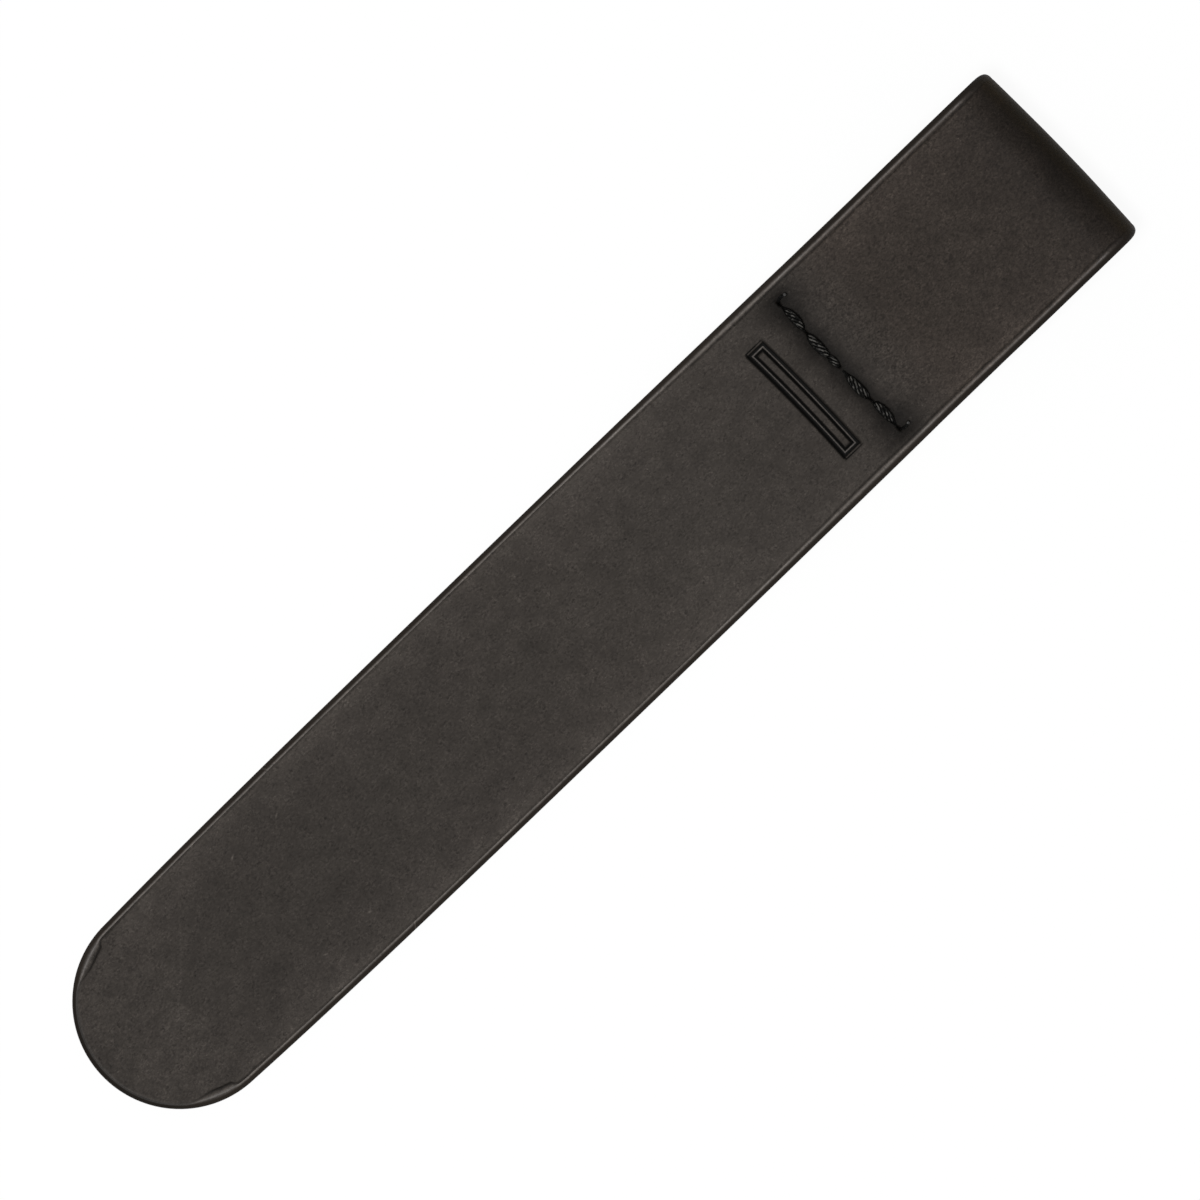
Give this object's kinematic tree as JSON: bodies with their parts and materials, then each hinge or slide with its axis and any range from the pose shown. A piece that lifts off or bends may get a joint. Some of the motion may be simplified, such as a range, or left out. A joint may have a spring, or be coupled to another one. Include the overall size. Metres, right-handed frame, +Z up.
{
  "type": "bookmark",
  "caption": "Flat leather bookmark strap with a rounded tail, a narrow pressed border and a head folded under and sewn across into a springy loop.",
  "frame": {"origin": "on the table under the strap, on its centre line, halfway between the tip of the tail and the fold", "axes": "+Y along the strap from tail to fold, +Z up out of the grain side, X across the strap"},
  "size_m": [0.0252, 0.15, 0.0092],
  "materials": {
    "leather": "smooth dark brown, semi-matt, painted edges",
    "thread": "black twisted and waxed"
  },
  "bodies": {
    "tail": {"tail": "leather", "neck": "leather"},
    "head": {"front_panel": "leather", "loop_fold": "leather", "back_flap": "leather", "top_thread": "thread", "bottom_thread": "thread"},
    "loop": {"loop_front": "leather"}
  },
  "joints": [
    {"name": "neck_flex", "type": "hinge", "parent": "tail", "child": "head", "pos_m": [0, 0.0161, 0.0015], "axis": [1, 0, 0], "range_deg": [0, 75], "stiffness_Nm_per_rad": 0.012, "deforming": ["neck"]},
    {"name": "loop_open", "type": "hinge", "parent": "head", "child": "loop", "pos_m": [0, 0.042, 0.003], "axis": [1, 0, 0], "range_deg": [-8, 12], "stiffness_Nm_per_rad": 0.01, "deforming": ["loop_fold"]}
  ]
}
